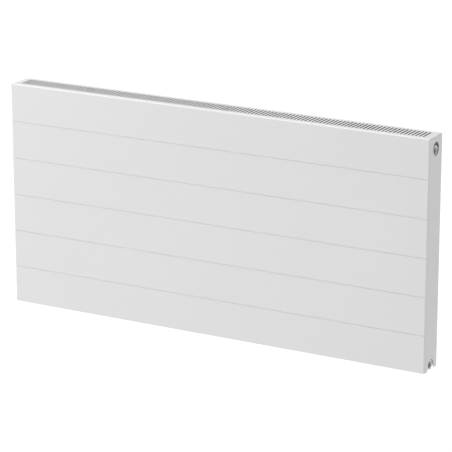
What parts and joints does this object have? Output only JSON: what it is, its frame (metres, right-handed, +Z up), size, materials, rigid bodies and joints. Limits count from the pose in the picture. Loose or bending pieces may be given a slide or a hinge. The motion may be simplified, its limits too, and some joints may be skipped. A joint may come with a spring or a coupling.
{
  "type": "panel radiator",
  "caption": "White double panel heating radiator with a flat grooved front, a slotted top grille, side covers, side tappings and hanging lugs.",
  "frame": {"origin": "in the wall plane, the plane of the backs of the four hanging lugs, at the middle of the width and of the height", "axes": "+Z up, +X to the right seen from the front, +Y from the front plate to the wall"},
  "size_m": [1.211, 0.088, 0.6],
  "materials": {
    "casing": "white baked enamel, satin gloss",
    "grille": "white baked enamel, satin gloss",
    "panel": "white baked enamel on welded sheet",
    "spring_steel": "zinc plated",
    "plug_nickel": "nickel plated",
    "seal": "matte",
    "collar_plastic": "matte moulded"
  },
  "bodies": {
    "radiator": {"front_cover_plate": "casing", "front_panel_outer_sheet": "panel", "front_panel_inner_sheet": "panel", "rear_panel_inner_sheet": "panel", "rear_panel_outer_sheet": "panel", "convector_fins": "panel", "hub_upper_left": "panel", "hub_upper_right": "panel", "hub_lower_left": "panel", "hub_lower_right": "panel", "grille_clip_left": "spring_steel", "grille_clip_middle": "spring_steel", "grille_clip_right": "spring_steel", "hanging_lug_upper_left": "panel", "hanging_lug_upper_right": "panel", "hanging_lug_lower_left": "panel", "hanging_lug_lower_right": "panel", "vent_plug": "plug_nickel", "vent_plug_seal": "seal", "blanking_plug": "plug_nickel", "blanking_plug_seal": "seal"},
    "grille": {"top_grille": "grille"},
    "left_cover": {"side_cover_left": "casing"},
    "right_cover": {"side_cover_right": "casing"},
    "nozzle_collar": {"vent_nozzle_collar": "collar_plastic"},
    "bleed": {"bleed_screw": "plug_nickel"}
  },
  "joints": [
    {"name": "grille_lift", "type": "slide", "parent": "radiator", "child": "grille", "axis": [0, 0, 1], "range_m": [0, 0.05]},
    {"name": "left_cover_pull", "type": "slide", "parent": "radiator", "child": "left_cover", "axis": [-1, 0, 0], "range_m": [0, 0.03]},
    {"name": "right_cover_pull", "type": "slide", "parent": "radiator", "child": "right_cover", "axis": [1, 0, 0], "range_m": [0, 0.03]},
    {"name": "collar_turn", "type": "hinge", "parent": "radiator", "child": "nozzle_collar", "pos_m": [-0.6046, -0.04938, 0.2635], "axis": [-1, 0, 0], "continuous": true},
    {"name": "bleed_turn", "type": "hinge", "parent": "radiator", "child": "bleed", "pos_m": [-0.6046, -0.04938, 0.2635], "axis": [-1, 0, 0], "range_deg": [0, 270]}
  ]
}
